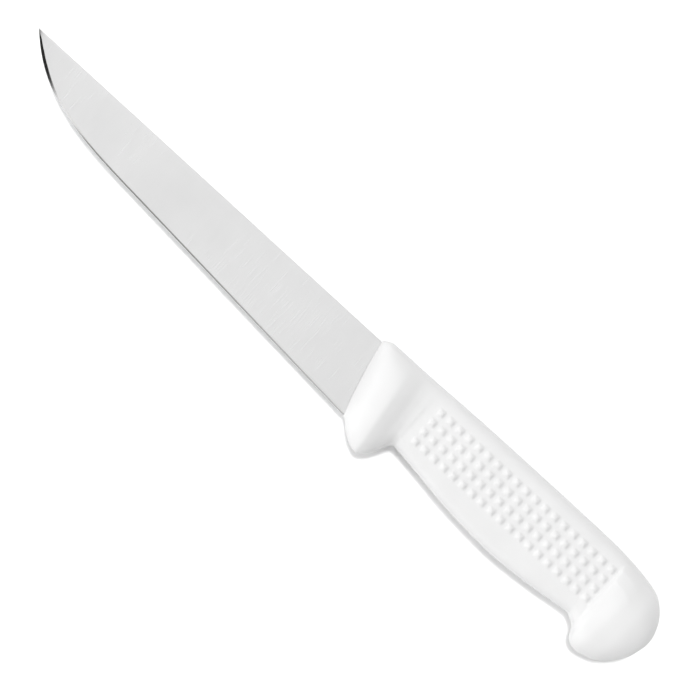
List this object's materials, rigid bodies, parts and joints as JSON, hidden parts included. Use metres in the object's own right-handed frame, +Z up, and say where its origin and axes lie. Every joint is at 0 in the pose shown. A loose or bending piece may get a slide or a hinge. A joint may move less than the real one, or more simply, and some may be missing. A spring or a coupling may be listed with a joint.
{
  "type": "kitchen knife",
  "caption": "Slim upswept butcher's kitchen knife with a straight spine and a moulded handle with finger guard, pyramid grip and hooked butt.",
  "frame": {"origin": "on the surface that the knife lies on, below the middle of its bounding box", "axes": "+X from the blade's tip to the handle's butt, +Y from the cutting edge to the spine, +Z up, square to the knife's middle plane"},
  "size_m": [0.3026, 0.038, 0.021],
  "materials": {
    "blade_steel": "satin",
    "handle_plastic": "satin"
  },
  "bodies": {
    "root": {"blade": "blade_steel", "handle": "handle_plastic"}
  },
  "joints": []
}
